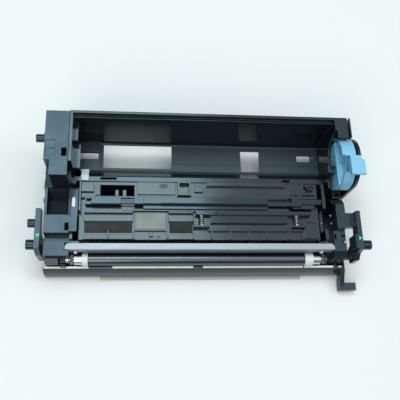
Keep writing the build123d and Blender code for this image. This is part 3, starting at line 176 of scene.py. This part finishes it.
def mouldedPlastic(name, ownLook):
    # Injection moulded: spark-eroded grain as fine bumps, flow patches in the gloss, painted highlights on the
    # rounded corners, dust where it settles, a coarser face in what lies deeper than deepZ, painted light in
    # the zone, and a painted tint in the reflections. Real grain is finer than the render can show, so grainMm
    # is coarser
    material, tree = newMaterial(name)
    value = plasticValues
    look = {**plainLook, **ownLook}
    rough, deepZ = look["roughness"], look["deepZ"] * mm
    where = addNode(tree, "ShaderNodeTexCoord")
    grain = addNode(
        tree, "ShaderNodeTexNoise", {"Scale": 1 / (look["grainMm"] * mm), "Detail": value["grainDetail"]},
        Vector=(where, "Object"))
    patches = addNode(
        tree, "ShaderNodeTexNoise",
        {"Scale": 1 / (value["patchMm"] * mm), "Detail": value["patchDetail"],
         "Roughness": value["patchRough"]},
        Vector=(where, "Object"))
    flow = addNode(
        tree, "ShaderNodeMapRange",
        {"From Min": value["patchFrom"], "From Max": value["patchTo"],
         "To Min": rough * value["glossLow"], "To Max": rough * value["glossHigh"]},
        Value=(patches, "Fac"))
    height = addNode(tree, "ShaderNodeSeparateXYZ", None, Vector=(where, "Object"))
    depth = addNode(
        tree, "ShaderNodeMapRange",
        {"From Min": deepZ, "From Max": deepZ - value["deepFadeMm"] * mm, "To Min": 0.0,
         "To Max": look["deepRough"]},
        Value=(height, "Z"))
    inZone = zoneMask(tree, where, look["zone"])
    coarse = addNode(
        tree, "ShaderNodeMath", {"operation": "MULTIPLY_ADD", 1: look["zoneRough"]},
        i0=(inZone, "Result"), i2=(depth, "Result"))
    gloss = addNode(tree, "ShaderNodeMath", {"operation": "ADD"}, i0=(flow, "Result"), i1=(coarse, "Value"))
    bevel, paintedHighlightMask = softEdge(tree, look["roundMm"])
    # painted highlight: the rounded corners are mixed towards a lighter colour
    edgeHighlightShare = addNode(tree, "ShaderNodeMath", {"operation": "MULTIPLY", 1: look["edge"]}, i0=(paintedHighlightMask, "Result"))
    edgeHighlighted = addNode(
        tree, "ShaderNodeMix",
        {"data_type": "RGBA", 6: linear(look["colour"]), 7: linear(look["edgeHighlightColour"])},
        Factor=(edgeHighlightShare, "Value"))
    settled = addNode(
        tree, "ShaderNodeMapRange",
        {"From Min": value["dustFrom"], "From Max": value["dustTo"], "To Max": look["dust"]},
        Value=(patches, "Fac"))
    dusty = addNode(
        tree, "ShaderNodeMix", {"data_type": "RGBA", 7: linear("dustGrey")},
        Factor=(settled, "Result"), i6=(edgeHighlighted, 2))
    # painted light in the zone: a painted reflection on the cradle floor, painted shade in the left end cover's
    # sunk panel
    shade = addNode(
        tree, "ShaderNodeMath", {"operation": "MULTIPLY", 1: look["zoneShare"]}, i0=(inZone, "Result"))
    tone = addNode(
        tree, "ShaderNodeMix", {"data_type": "RGBA", 7: linear(look["zoneColour"])},
        Factor=(shade, "Value"), i6=(dusty, 2))
    bump = addNode(
        tree, "ShaderNodeBump", {"Strength": value["grainStrength"], "Distance": value["grainDeepMm"] * mm},
        Height=(grain, "Fac"), Normal=(bevel, "Normal"))
    # painted reflection: the specular is tinted with the cool colour of the room's light
    shader = addNode(
        tree, "ShaderNodeBsdfPrincipled", {"IOR": value["ior"], "Specular Tint": linear(look["paintedReflectionTint"])},
        Normal=(bump, "Normal"), Roughness=(gloss, "Value"))
    tree.links.new(tone.outputs[2], shader.inputs["Base Color"])
    addNode(tree, "ShaderNodeOutputMaterial", None, Surface=(shader, "BSDF"))
    return material


metalValues = {
    "lineDetail": 3.0, "lineStrength": 0.12, "lineDeepMm": 0.02, "glossLow": 0.75, "glossHigh": 1.3,
    "roundMm": 0.3,
}


def drawnMetal(name, look):
    # Sheet or bar metal: fine lines left along the way it was drawn or turned. Real lines are finer than the
    # render can show, so lineMm is coarser
    material, tree = newMaterial(name)
    value, rough = metalValues, look["roughness"]
    where = addNode(tree, "ShaderNodeTexCoord")
    along = addNode(tree, "ShaderNodeMapping", {"Scale": look["stretch"]}, Vector=(where, "Object"))
    lines = addNode(
        tree, "ShaderNodeTexNoise", {"Scale": 1 / (look["lineMm"] * mm), "Detail": value["lineDetail"]},
        Vector=(along, "Vector"))
    spread = addNode(
        tree, "ShaderNodeMapRange", {"To Min": rough * value["glossLow"], "To Max": rough * value["glossHigh"]},
        Value=(lines, "Fac"))
    bevel = addNode(
        tree, "ShaderNodeBevel", {"samples": edgeValues["samples"], "Radius": value["roundMm"] * mm})
    bump = addNode(
        tree, "ShaderNodeBump", {"Strength": value["lineStrength"], "Distance": value["lineDeepMm"] * mm},
        Height=(lines, "Fac"), Normal=(bevel, "Normal"))
    shader = addNode(
        tree, "ShaderNodeBsdfPrincipled", {"Base Color": linear(look["colour"]), "Metallic": 1.0},
        Normal=(bump, "Normal"), Roughness=(spread, "Result"))
    addNode(tree, "ShaderNodeOutputMaterial", None, Surface=(shader, "BSDF"))
    return material


plasticLooks = {
    "mouldedPolystyrene": {  # the case: near black, its reflections given a painted cool tint; the cradle floor duller, and painted lighter as its reflection
        "colour": "caseBlack", "roughness": 0.15, "grainMm": 0.5, "dust": 0.05, "paintedReflectionTint": "#dff4ff",
        "roundMm": 0.6, "zone": ((-150.0, 89.0, 10.0), (140.0, 134.0, 27.2)), "zoneRough": 0.34,
        "zoneShare": 0.85, "zoneColour": "paintedFloorShine"},
    "mouldedAbsCover": {  # the chamber's cover: as glossy on its decks, dull down in its pockets; its reflections given a painted cool tint
        "colour": "coverBlack", "roughness": 0.17, "grainMm": 0.6, "dust": 0.05, "paintedReflectionTint": "#f0feff",
        "roundMm": 0.5, "deepZ": 45.6, "deepRough": 0.3},
    "mouldedEndCover": {  # the end covers: a softer shine with a painted bluer tint, and a sunk panel at the left painted nearly black as its shade
        "colour": "endBlack", "roughness": 0.22, "grainMm": 0.7, "dust": 0.04, "edge": 0.4, "paintedReflectionTint": "#cfeaff",
        "roundMm": 0.5, "zone": ((-150.0, 45.5, 38.0), (-129.0, 73.0, 54.4)), "zoneRough": 0.5,
        "zoneShare": 1.0, "zoneColour": "paintedShadeBlack"},
    "polishedAbs": {  # the sliding bars: almost a mirror, their reflections given a painted cool tint
        "colour": "glossBlack", "roughness": 0.12, "grainMm": 0.9, "dust": 0.02, "paintedReflectionTint": "#d5efff"},
    "coarseShadedPolystyrene": {  # the sunk fields: dull, with hardly any shine, painted nearly black as their shade
        "colour": "paintedShadeBlack", "roughness": 0.6, "grainMm": 0.4, "edge": 0.2},
    "blackAcetal": {  # gears and mixing screws: waxy dark grey
        "colour": "gearBlack", "roughness": 0.30, "grainMm": 0.5},
    "blueAbs": {  # the lever: pale sky blue, with painted highlights lighter on its rounded corners
        "colour": "leverBlue", "roughness": 0.30, "grainMm": 0.6, "edge": 0.55, "edgeHighlightColour": "leverEdgeHighlight",
        "roundMm": 0.5},
    "whiteAcetal": {  # rollers and tab: off-white and waxy
        "colour": "acetalWhite", "roughness": 0.34, "grainMm": 0.6, "edge": 0.0},
    "bronzeTintedFilm": {  # the panel plate: a brownish shimmer
        "colour": "plateBronze", "roughness": 0.22, "grainMm": 1.5, "edge": 0.2},
    "polyesterFilm": {  # the film before the belly: cloudy pale grey
        "colour": "filmClear", "roughness": 0.20, "grainMm": 1.5, "edge": 0.0},
    "highlightedPolyesterStrip": {  # the strip on the lip: pale, and painted nearly white as the highlight along the lip's edge
        "colour": "stripPaleHighlight", "roughness": 0.18, "grainMm": 1.5, "edge": 0.0},
    "greenInk": {  # the arrow marks: flat bright green
        "colour": "markGreen", "roughness": 0.35, "grainMm": 0.8, "edge": 0.0},
}
metalLooks = {
    "zincPlatedSheet": {  # the bent bar: pale grey satin, its lines along the bar
        "colour": "platedSteel", "roughness": 0.48, "lineMm": 0.6, "stretch": (0.02, 1, 1)},
    "turnedBrightSteel": {  # collars, springs and small screws: bright, its lines round the axle
        "colour": "turnedSteel", "roughness": 0.26, "lineMm": 0.4, "stretch": (1, 0.05, 0.05)},
    "blackenedSteel": {  # blade, rods, bearings and cover screws: dark with a metal gleam
        "colour": "darkSteel", "roughness": 0.34, "lineMm": 0.4, "stretch": (0.02, 1, 1)},
    "coatedBlastedAluminium": {  # the sleeve: grey with an even grain and one long soft highlight
        "colour": "coatedAluminium", "roughness": 0.24, "lineMm": 0.3, "stretch": (1, 1, 1)},
}
finishes = {name: mouldedPlastic(name, look) for name, look in plasticLooks.items()}
finishes.update({name: drawnMetal(name, look) for name, look in metalLooks.items()})

finishOfSlot = {
    "case_black": "mouldedPolystyrene", "cover_black": "mouldedAbsCover", "end_black": "mouldedEndCover",
    "slide_black": "polishedAbs", "bar_steel": "zincPlatedSheet", "blade_steel": "blackenedSteel",
    "bright_steel": "turnedBrightSteel", "sleeve_black": "coatedBlastedAluminium",
    "flange_white": "whiteAcetal", "gear_white": "blackAcetal", "screw_dark": "blackAcetal",
    "magnet_grey": "blackAcetal", "lever_blue": "blueAbs", "spring_steel": "turnedBrightSteel",
    "film_clear": "polyesterFilm", "strip_grey": "highlightedPolyesterStrip", "tab_white": "whiteAcetal",
}
finishOfNode = {"panel_plate": "bronzeTintedFilm", "link_rods": "blackenedSteel"}
slotOfNode = {row["node"]: row["material_slot"] for row in frame["record"]["subparts"]}
for name, thing in nodes.items():
    thing.data.materials.clear()
    thing.data.materials.append(finishes[finishOfNode.get(name, finishOfSlot[slotOfNode[name]])])
print("materials on", len(nodes), "nodes")

# Pieces: places are in mm, with Y from the lip, as in the frame's source


def ringStack(name, body, slotName, stacks, finish=None, replaced=(), looped=False, sharp=38):
    # Each stack is an array of rings (ring, point, xyz). A ring joins the next one point by point, and the
    # end rings are closed by a face, or joined to each other where the stack is looped
    points, faces, first = [], [], 0
    for rings in stacks:
        count, around = rings.shape[:2]
        ring = np.arange(count if looped else count - 1)[:, None] * around
        point = np.arange(around)[None, :]
        beside = (point + 1) % around
        above = (ring + around) % (count * around)
        quads = np.stack([ring + point, ring + beside, above + beside, above + point], -1) + first
        faces += quads.reshape(-1, 4).tolist()
        if not looped:
            faces.append((point[0, ::-1] + first).tolist())
            faces.append((point[0] + first + (count - 1) * around).tolist())
        points.append(rings.reshape(-1, 3))
        first += count * around
    mesh = bpy.data.meshes.new(name)
    place = (np.concatenate(points) - (0, originY, 0)) * mm
    mesh.from_pydata(place.tolist(), [], faces)
    mesh.materials.append(finishes[finish or finishOfSlot[slotName]])
    shell = bmesh.new()
    shell.from_mesh(mesh)
    bmesh.ops.recalc_face_normals(shell, faces=shell.faces)
    shell.to_mesh(mesh)
    shell.free()
    mesh.shade_smooth()
    mesh.set_sharp_from_angle(angle=radians(sharp))
    piece = bpy.data.objects.new(name, mesh)
    bpy.context.scene.collection.objects.link(piece)
    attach(piece, body)
    if replaced:
        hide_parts(*replaced)
    return piece


def smoothStep(t):
    t = np.clip(t, 0, 1)
    return t * t * (3 - 2 * t)


springValues = {
    "leftX": 1.6, "rightX": 99.0, "y": (36.6, 47.2), "z": 49.4, "radius": 2.2, "wire": 0.36, "turns": 7,
    "flatTurns": 1.0, "flatPitch": 0.15, "turnSteps": 20, "around": 10, "kept": 0.717,
}


def coilSpring(name, node, x):
    # Round wire: at turn t the middle is (R cos, along, R sin), where along grows slowly in the flat end turns
    # and evenly between; around the wire it is the middle + r (cos v outwards + sin v along)
    value = springValues
    wire, turns, flat = value["wire"], value["turns"], value["flatTurns"]
    t = np.linspace(0, turns, turns * value["turnSteps"] + 1)
    pitch = value["flatPitch"] + smoothStep(t / flat - 0.5) * smoothStep((turns - t) / flat - 0.5)
    along = np.concatenate([[0], np.cumsum((pitch[1:] + pitch[:-1]) / 2)])
    low, high = value["y"][0] + wire, value["y"][1] - wire
    y = low + along / along[-1] * (high - low)
    turn = t * 2 * np.pi
    outwards = np.stack([np.cos(turn), 0 * turn, np.sin(turn)], 1)
    middle = np.stack([0 * t + x, y, 0 * t + value["z"]], 1) + value["radius"] * outwards
    v = np.linspace(0, 2 * np.pi, value["around"], endpoint=False)
    rings = (
        middle[:, None] + wire * np.cos(v)[None, :, None] * outwards[:, None]
        + wire * np.sin(v)[None, :, None] * np.array([0, 1, 0]))
    spring = ringStack(name, "case", "spring_steel", [rings], replaced=[node], sharp=80)
    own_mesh(spring)


screwValues = {
    "left": (-151.0, -1, ((33.0, 8.0), (130.0, 10.0), (130.0, 50.0), (62.0, 48.0))),  # face x, way out, (y, z)
    "right": (150.5, 1, ((30.0, 10.0), (60.0, 10.0), (133.0, 12.0))),
    "radius": 3.2, "height": 2.0,
    "bladeX": (-121.5, 126.0), "bladeZ": 38.5, "bladeY": 12.8, "bladeRadius": 2.4, "bladeHeight": 1.8,
    "slotWide": 0.42, "slotLong": 1.7, "slotDeep": 1.2, "slotSoft": 0.18, "slotWithin": 0.8,
    "edgeShare": (1, 1, 0.97, 0.9), "edgeRise": (0, 0.45, 0.62, 0.76),
    "dome": (0.84, 0.02), "domeRise": 0.2, "domeRings": 22, "around": 64,
}


def panHead(radius, height):
    # Pan head: rings of radius r at height h along an edge that rises and domes over, less a cross recess,
    # which is deep where one of the two arms holds the point
    value = screwValues
    dome = np.linspace(*value["dome"], value["domeRings"])
    domed = 1 - value["domeRise"] + value["domeRise"] * np.sqrt(1 - dome ** 2)
    share = np.array([*value["edgeShare"], *dome])
    rise = np.array([*value["edgeRise"], *domed])
    v = np.linspace(0, 2 * np.pi, value["around"], endpoint=False)
    a = radius * share[:, None] * np.cos(v)
    b = radius * share[:, None] * np.sin(v)
    soft = value["slotSoft"]
    wide, long = (value[key] * radius / value["radius"] for key in ("slotWide", "slotLong"))
    arms = np.maximum(
        smoothStep((wide - abs(a)) / soft + 0.5) * smoothStep((long - abs(b)) / soft + 0.5),
        smoothStep((wide - abs(b)) / soft + 0.5) * smoothStep((long - abs(a)) / soft + 0.5))
    inside = share[:, None] < value["slotWithin"]
    h = height * rise[:, None] / rise.max() - value["slotDeep"] * arms * inside
    return a, b, h


def screws():
    value = screwValues
    a, b, h = panHead(value["radius"], value["height"])
    stacks = []
    for side in ("left", "right"):
        x, way, places = value[side]
        stacks += [np.stack([x + way * h, y + a, z + b], -1) for y, z in places]
    ringStack("coverScrewHeads", "case", "blade_steel", stacks, replaced=["cover_screws"])
    a, b, h = panHead(value["bladeRadius"], value["bladeHeight"])
    stacks = [np.stack([x + a, value["bladeY"] - h, value["bladeZ"] + b], -1) for x in value["bladeX"]]
    ringStack("bladeScrewHeads", "case", "bright_steel", stacks, replaced=["blade_screws"])


bearingValues = {
    "leftX": (-127.3, -123.7), "rightX": (128.2, 131.8), "y": 7.6, "z": 28.0, "bore": 3.6, "radius": 5.2,
    "rib": 0.45, "ribs": 26, "ribSteps": 4, "round": 0.25,
}


def ribbedBearing(name, node, spanX):
    # A ring whose rim steps in and out: the profile (x, r) is carried round, and r is less in every other step
    value = bearingValues
    steps, soft = value["ribSteps"], value["round"]
    angle = np.linspace(0, 2 * np.pi, value["ribs"] * steps, endpoint=False)
    rim = value["radius"] - value["rib"] * (np.arange(len(angle)) % steps < steps / 2)
    lowX, highX = spanX
    x = np.array([lowX, lowX, lowX + soft, highX - soft, highX, highX])
    r = np.stack([
        0 * rim + value["bore"], rim - soft, rim, rim, rim - soft, 0 * rim + value["bore"]], 1)
    y = value["y"] + r * np.cos(angle)[:, None]
    z = value["z"] + r * np.sin(angle)[:, None]
    rings = np.stack([np.broadcast_to(x, r.shape), y, z], -1)
    ringStack(name, "case", "bright_steel", [rings], finish="blackenedSteel", replaced=[node], looped=True)


padValues = {
    "around": 40, "softStep": 0.3, "shoulder": 0.7, "crown": 0.3, "tip": 0.02,
    "shoulderRise": 0.5, "crownRise": 0.9,
}


def superRound(at, half, power, turn=0.0):
    # Rounded outline: |x/a|^p + |y/b|^p = 1, turned about its middle
    v = np.linspace(0, 2 * np.pi, padValues["around"], endpoint=False)
    x = half[0] * np.sign(np.cos(v)) * abs(np.cos(v)) ** (2 / power)
    y = half[1] * np.sign(np.sin(v)) * abs(np.sin(v)) ** (2 / power)
    c, s = np.cos(radians(turn)), np.sin(radians(turn))
    return np.stack([at[0] + c * x - s * y, at[1] + s * x + c * y], 1)


def pad(outline, lowZ, highZ, soft, dome=0.0):
    # The outline carried up from lowZ to highZ - soft, then drawn in towards its middle over the top
    value = padValues
    middle = outline.mean(0)
    size = abs(outline - middle).max()
    step, top = value["softStep"] * soft, 1 - soft / size
    share = np.array([1, 1, 1 - step / size, top, value["shoulder"] * top, value["crown"], value["tip"]])
    z = np.array([
        lowZ, highZ - soft, highZ - step, highZ,
        highZ + value["shoulderRise"] * dome, highZ + value["crownRise"] * dome, highZ + dome])
    flat = middle + share[:, None, None] * (outline - middle)
    return np.concatenate([flat, np.broadcast_to(z[:, None, None], flat.shape[:2] + (1,))], -1)


arrowValues = {
    "marks": (((-154.95, 24.5), (1.35, 1.25), -1), ((160.95, 22.3), (1.25, 1.25), 1)),  # middle, half size, way
    "z": (57.9, 58.06), "soft": 0.05, "around": 42, "power": 9, "sides": (60, 180, 300), "least": 0.01,
}


def arrowMarks():
    # Rounded triangles: a ring of radius 1 / max over the three sides of cos(v - side), with the max softened
    # to a power sum
    value = arrowValues
    power = value["power"]
    v = np.linspace(0, 2 * np.pi, value["around"], endpoint=False)
    facing = np.maximum(np.cos(v[:, None] - np.radians(value["sides"])), value["least"])
    reach = (facing ** power).sum(1) ** (-1 / power)
    pads = []
    for (x, y), (a, b), way in value["marks"]:
        outline = np.stack([x + way * a * reach * np.cos(v), y + b * reach * np.sin(v)], 1)
        pads.append(pad(outline, *value["z"], value["soft"]))
    ringStack("greenArrowMarks", "case", "end_black", pads, finish="greenInk")


plainPad = {"power": 2, "turn": 0, "dome": 0.0}  # stands for what a pad leaves out
padPieces = {
    "shelfInsert": {"body": "case", "slot": "tab_white", "pads": [
        {"at": (-123.8, 59.4), "half": (1.6, 5.0), "power": 5, "z": (51.2, 52.3), "soft": 0.4}]},
    "ejectorMarks": {"body": "case", "slot": "cover_black", "finish": "blackAcetal", "pads": [
        {"at": (-36.0, 78.0), "half": (3.7, 1.6), "power": 2.4, "z": (50.0, 50.36), "soft": 0.1},
        {"at": (-16.6, 78.2), "half": (1.5, 1.5), "z": (47.8, 48.1), "soft": 0.08},
        {"at": (-41.2, 25.9), "half": (1.7, 1.3), "power": 6, "z": (45.8, 46.2), "soft": 0.1}]},
    "cornerRibs": {"body": "case", "slot": "cover_black", "pads": [
        {"at": (112.6, 77.4), "half": (4.6, 0.55), "power": 6, "turn": -56, "z": (47.8, 51.2), "soft": 0.25},
        {"at": (116.4, 77.0), "half": (3.8, 0.55), "power": 6, "turn": -50, "z": (47.8, 50.8), "soft": 0.25},
        {"at": (119.6, 79.6), "half": (2.2, 0.5), "power": 6, "turn": -45, "z": (47.8, 50.2), "soft": 0.2}]},
    "pitRivets": {"body": "case", "slot": "bright_steel", "pads": [
        {"at": (130.0, 44.1), "half": (1.25, 1.25), "z": (35.8, 37.2), "soft": 0.6, "dome": 0.5},
        {"at": (139.7, 51.8), "half": (1.25, 1.25), "z": (37.8, 39.2), "soft": 0.6, "dome": 0.5},
        {"at": (139.7, 43.1), "half": (1.25, 1.25), "z": (37.8, 39.2), "soft": 0.6, "dome": 0.5}]},
    "pressurePip": {"body": "pressure_bar", "slot": "slide_black", "pads": [
        {"at": (16.4, 49.3), "half": (1.3, 1.3), "z": (52.4, 53.2), "soft": 0.5, "dome": 0.4}]},
    # painted glint: a small nearly white pad at the lip's right end
    "lipEndGlintPad": {"body": "case", "slot": "strip_grey", "pads": [
        {"at": (149.2, 0.25), "half": (1.8, 0.8), "power": 5, "z": (24.4, 24.8), "soft": 0.12}]},
}


def smallPads():
    for name, value in padPieces.items():
        pads = []
        for row in value["pads"]:
            row = {**plainPad, **row}
            outline = superRound(row["at"], row["half"], row["power"], row["turn"])
            pads.append(pad(outline, *row["z"], row["soft"], row["dome"]))
        ringStack(name, value["body"], value["slot"], pads, finish=value.get("finish"))


slopeValues = {
    "spans": ((-113.2, -66.8), (-30.2, -7.3)), "y": (30.2, 40.8), "z": (44.2, 44.8, 49.4), "round": 0.15,
    "inset": 1, "steps": 8, "endShare": 0.96,
}


def fieldSlopes():
    # Sloped floors of the two sunk fields: a wedge's profile (y, z) carried along x, its ends drawn in a little
    value = slopeValues
    (front, back), (under, low, high), soft = value["y"], value["z"], value["round"]
    profile = np.array([
        (front, under), (back, under), (back, high - soft), (back - soft, high), (back - 2 * soft, high),
        (front + soft, low), (front, low - soft)])
    middle = profile.mean(0)
    stacks = []
    for lowX, highX in value["spans"]:
        between = np.linspace(lowX + value["inset"], highX - value["inset"], value["steps"])
        x = np.array([lowX, lowX + soft, *between, highX - soft, highX])
        share = np.ones(len(x))
        share[[0, -1]] = value["endShare"]
        yz = middle + share[:, None, None] * (profile - middle)
        stacks.append(np.concatenate([np.broadcast_to(x[:, None, None], yz.shape[:2] + (1,)), yz], -1))
    # painted shade: the field floors are made nearly black
    ringStack("fieldSlopes", "case", "cover_black", stacks, finish="coarseShadedPolystyrene", sharp=20)


leverValues = {"weldMm": 0.002, "flatAngle": 0.5, "roundMm": 0.45, "rounds": 2, "cornerAngle": 34}


def leverShell():
    # The frame's lever with its points welded and its corners rounded, so that the drum and grip catch light
    value = leverValues
    mesh = nodes["lock_lever"].data.copy()
    shell = bmesh.new()
    shell.from_mesh(mesh)
    bmesh.ops.remove_doubles(shell, verts=shell.verts, dist=value["weldMm"] * mm)
    bmesh.ops.dissolve_limit(
        shell, angle_limit=radians(value["flatAngle"]), verts=shell.verts, edges=shell.edges)
    shell.to_mesh(mesh)
    shell.free()
    mesh.shade_smooth()
    mesh.set_sharp_from_angle(angle=radians(value["cornerAngle"]))
    piece = bpy.data.objects.new("lockLeverShell", mesh)
    bpy.context.scene.collection.objects.link(piece)
    rounding = piece.modifiers.new("cornerRound", "BEVEL")
    rounding.width = value["roundMm"] * mm
    rounding.segments = value["rounds"]
    rounding.limit_method = "ANGLE"
    rounding.angle_limit = radians(value["cornerAngle"])
    rounding.harden_normals = True
    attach(piece, "lock_lever")
    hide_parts("lock_lever")


coilSpring("leftSpringWire", "left_spring", springValues["leftX"])
coilSpring("rightSpringWire", "right_spring", springValues["rightX"])
print("springs made")
screws()
ribbedBearing("leftRibbedBearing", "left_bearing", bearingValues["leftX"])
ribbedBearing("rightRibbedBearing", "right_bearing", bearingValues["rightX"])
print("screw heads and bearings made")
arrowMarks()
smallPads()
fieldSlopes()
leverShell()
print("marks, pads, slopes and lever made")

# Floor, lights and camera

floorValues = {"half": 6.0, "seen": 1.0, "bounce": 0.55, "roughness": 0.7, "specular": 0.2}


def paleFloor():
    # A flat sheet: x and y run over a square, z is the part's lowest. The camera, gloss and glass see it pale,
    # and it throws less light back
    value = floorValues
    material, tree = newMaterial("paleBackdrop")
    path = addNode(tree, "ShaderNodeLightPath")
    share = addNode(
        tree, "ShaderNodeMapRange", {"To Min": value["seen"], "To Max": value["bounce"]},
        Value=(path, "Is Diffuse Ray"))
    paint = addNode(
        tree, "ShaderNodeVectorMath", {"operation": "SCALE", 0: linear("floorPale")[:3]},
        Scale=(share, "Result"))
    shader = addNode(
        tree, "ShaderNodeBsdfPrincipled",
        {"Roughness": value["roughness"], "Specular IOR Level": value["specular"]})
    tree.links.new(paint.outputs["Vector"], shader.inputs["Base Color"])
    addNode(tree, "ShaderNodeOutputMaterial", None, Surface=(shader, "BSDF"))
    x = np.array([-1.0, 1.0, 1.0, -1.0]) * value["half"]
    y = np.array([-1.0, -1.0, 1.0, 1.0]) * value["half"]
    mesh = bpy.data.meshes.new("floorMesh")
    mesh.from_pydata(np.stack([x, y, np.full(4, cadBox[0][2])], 1).tolist(), [], [(0, 1, 2, 3)])
    mesh.materials.append(material)
    floor = bpy.data.objects.new("floor", mesh)
    bpy.context.scene.collection.objects.link(floor)


lightValues = {
    "worldColour": (0.84, 0.96, 1.0, 1), "horizon": 0.14, "ceiling": 1.45,
    "ceilingFrom": 0.5, "ceilingTo": 0.98,  # the way's Z, 1 straight up, where the ceiling begins and is full
    "lamps": {  # name: place in metres, what it points at, width and depth, watts, colour
        "windowLamp": ((-0.17, 0.58, 1.55), (-0.17, 0.58, 0.0), (0.75, 0.65), 8.5, (0.74, 0.94, 1.0)),
        "frontLamp": ((-0.6, -1.1, 1.2), (0.0, 0.04, 0.03), (1.0, 0.8), 8.0, (1.0, 0.97, 0.94)),
        "sideLamp": ((1.2, 0.1, 1.3), (0.0, 0.04, 0.03), (0.7, 0.7), 4.5, (1.0, 0.97, 0.94)),
    },
}


def softLight():
    # A room: a pale ceiling overhead, darker walls towards the horizon, and three soft lamps
    value = lightValues
    world = bpy.data.worlds.new("studioWorld")
    bpy.context.scene.world = world
    world.use_nodes = True
    tree = world.node_tree
    tree.nodes.clear()
    way = addNode(tree, "ShaderNodeTexCoord")
    upward = addNode(tree, "ShaderNodeSeparateXYZ", None, Vector=(way, "Generated"))
    ceiling = addNode(
        tree, "ShaderNodeMapRange",
        {"interpolation_type": "SMOOTHSTEP", "From Min": value["ceilingFrom"], "From Max": value["ceilingTo"],
         "To Min": value["horizon"], "To Max": value["ceiling"]},
        Value=(upward, "Z"))
    sky = addNode(tree, "ShaderNodeBackground", {"Color": value["worldColour"]}, Strength=(ceiling, "Result"))
    addNode(tree, "ShaderNodeOutputWorld", None, Surface=(sky, "Background"))
    for name, (place, target, size, watts, colour) in value["lamps"].items():
        lamp = bpy.data.lights.new(name, "AREA")
        lamp.shape = "RECTANGLE"
        lamp.size, lamp.size_y = size
        lamp.energy = watts
        lamp.color = colour
        thing = bpy.data.objects.new(name, lamp)
        thing.location = place
        thing.rotation_euler = (Vector(target) - Vector(place)).to_track_quat("-Z", "Y").to_euler()
        bpy.context.scene.collection.objects.link(thing)


cameraValues = {
    "place": (-64.1, -114.5 - originY, 571.7),  # mm
    "turn": (18.890, -6.543, -1.591),  # degrees
    "focalPixels": 550.57, "framePixels": 400,  # the fitted focal length, in a frame this wide
    "sensor": 36, "near": 0.01,  # mm, m
}


def photoCamera():
    value = cameraValues
    lens = bpy.data.cameras.new("photoCamera")
    lens.lens = value["focalPixels"] / value["framePixels"] * value["sensor"]
    lens.sensor_width = value["sensor"]
    lens.clip_start = value["near"]
    thing = bpy.data.objects.new("photoCamera", lens)
    thing.location = [c * mm for c in value["place"]]
    thing.rotation_euler = [radians(a) for a in value["turn"]]
    bpy.context.scene.collection.objects.link(thing)
    bpy.context.scene.camera = thing


paleFloor()
softLight()
photoCamera()
bpy.context.scene.view_settings.view_transform = "Standard"
print("floor, lights and camera ready")
